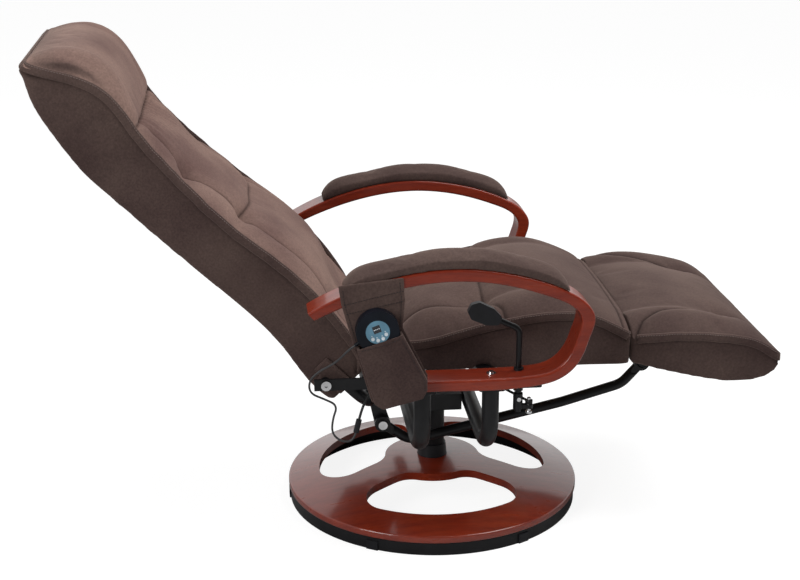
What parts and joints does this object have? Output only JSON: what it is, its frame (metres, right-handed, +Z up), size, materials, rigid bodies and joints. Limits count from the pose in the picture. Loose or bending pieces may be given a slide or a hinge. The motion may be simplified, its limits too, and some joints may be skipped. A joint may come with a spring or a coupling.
{
  "type": "massage recliner chair",
  "caption": "Reclining massage armchair on a swivel column with a domed wooden disc base, bentwood arms, padded suede upholstery, linked footrest, release lever and handset pouch.",
  "frame": {"origin": "on the floor at the swivel axis", "axes": "+X towards the sitter's front, +Y to the sitter's left, +Z up, in the reclined rest pose"},
  "size_m": [1.4105, 0.7395, 0.9752],
  "materials": {
    "mahogany": "gloss",
    "black_steel": "satin",
    "black_plastic": "satin",
    "steel": "satin",
    "chrome": "polished",
    "brown_suede": "matte",
    "plywood": "matte",
    "motor_plastic": "matte",
    "handset_blue": "gloss",
    "dial_blue": "satin",
    "display_dark": "gloss",
    "button_white": "satin",
    "grey_cord": "satin",
    "black_cord": "satin"
  },
  "bodies": {
    "base": {"base_disc": "mahogany", "base_ring": "black_steel", "base_spider": "black_steel", "hub_nut": "black_steel", "base_glides": "black_plastic", "column_tube": "black_steel", "column_collar": "black_plastic", "swivel_bearing": "black_plastic"},
    "seat": {"swivel_spindle": "steel", "swivel_plate": "black_steel", "front_hoop": "black_steel", "rear_hoop": "black_steel", "seat_beams": "black_steel", "arm_left": "mahogany", "arm_right": "mahogany", "arm_screws": "chrome", "arm_pad_left": "brown_suede", "arm_pad_right": "brown_suede", "seat_board": "plywood", "seat_motors": "motor_plastic", "seat_hinges": "steel", "seat_cushion": "brown_suede", "hinge_plates": "black_steel", "pivot_bolts": "chrome", "lever_bush": "black_plastic", "lever_bracket": "black_steel", "recline_lock": "black_steel", "control_box": "black_plastic", "pouch_panel": "brown_suede", "pouch_pocket": "brown_suede", "handset_shell": "handset_blue", "handset_dial": "dial_blue", "handset_display": "display_dark", "inline_plug": "black_plastic", "handset_cord": "grey_cord", "control_lead": "black_cord"},
    "backrest": {"backrest_panel": "brown_suede", "backrest_board": "plywood", "backrest_motors": "motor_plastic", "backrest_frame": "black_steel", "backrest_cushion": "brown_suede", "backrest_lugs": "black_steel", "link_bracket": "black_steel", "link_bolt": "chrome"},
    "footrest": {"footrest_hinge_leaves": "steel", "footrest_board": "plywood", "footrest_motor": "motor_plastic", "footrest_crank": "black_steel", "crank_pin": "black_steel", "footrest_cushion": "brown_suede"},
    "link": {"link_bar": "black_steel"},
    "lever": {"lever_rod": "black_steel", "lever_paddle": "black_plastic", "lever_crank": "black_steel", "crank_bolts": "chrome"},
    "release_rod": {"release_rod": "black_steel"},
    "button_1": {"handset_button_1": "button_white"},
    "button_2": {"handset_button_2": "button_white"},
    "button_3": {"handset_button_3": "button_white"},
    "button_4": {"handset_button_4": "button_white"}
  },
  "joints": [
    {"name": "swivel", "type": "hinge", "parent": "base", "child": "seat", "pos_m": [0, 0, 0.20277], "axis": [0, 0, 1], "continuous": true},
    {"name": "recline", "type": "hinge", "parent": "seat", "child": "backrest", "pos_m": [-0.234, 0, 0.34977], "axis": [0, 1, 0], "range_deg": [0, 26]},
    {"name": "footrest_fold", "type": "hinge", "parent": "seat", "child": "footrest", "pos_m": [0.35, 0, 0.35977], "axis": [0, 1, 0], "range_deg": [0, 68]},
    {"name": "link_turn", "type": "hinge", "parent": "backrest", "child": "link", "pos_m": [-0.113, -0.1, 0.19677], "axis": [0, 1, 0], "range_deg": [-27.88, 0]},
    {"name": "lever_turn", "type": "hinge", "parent": "seat", "child": "lever", "pos_m": [0.12, -0.314, 0.35877], "axis": [0, 0, 1], "range_deg": [0, 25]},
    {"name": "rod_turn", "type": "hinge", "parent": "lever", "child": "release_rod", "pos_m": [0.141, -0.314, 0.32077], "axis": [0, 0, 1], "range_deg": [-25, 0]},
    {"name": "button_1_press", "type": "slide", "parent": "seat", "child": "button_1", "axis": [0, 1, 0], "range_m": [0, 0.0008], "stiffness_N_per_m": 600},
    {"name": "button_2_press", "type": "slide", "parent": "seat", "child": "button_2", "axis": [0, 1, 0], "range_m": [0, 0.0008], "stiffness_N_per_m": 600},
    {"name": "button_3_press", "type": "slide", "parent": "seat", "child": "button_3", "axis": [0, 1, 0], "range_m": [0, 0.0008], "stiffness_N_per_m": 600},
    {"name": "button_4_press", "type": "slide", "parent": "seat", "child": "button_4", "axis": [0, 1, 0], "range_m": [0, 0.0008], "stiffness_N_per_m": 600}
  ],
  "couplings": [
    {"joint": "footrest_fold", "follows": "recline", "ratio": 2.6154},
    {"joint": "link_turn", "follows": "recline", "ratio": -1.053},
    {"joint": "rod_turn", "follows": "lever_turn", "ratio": -1}
  ]
}
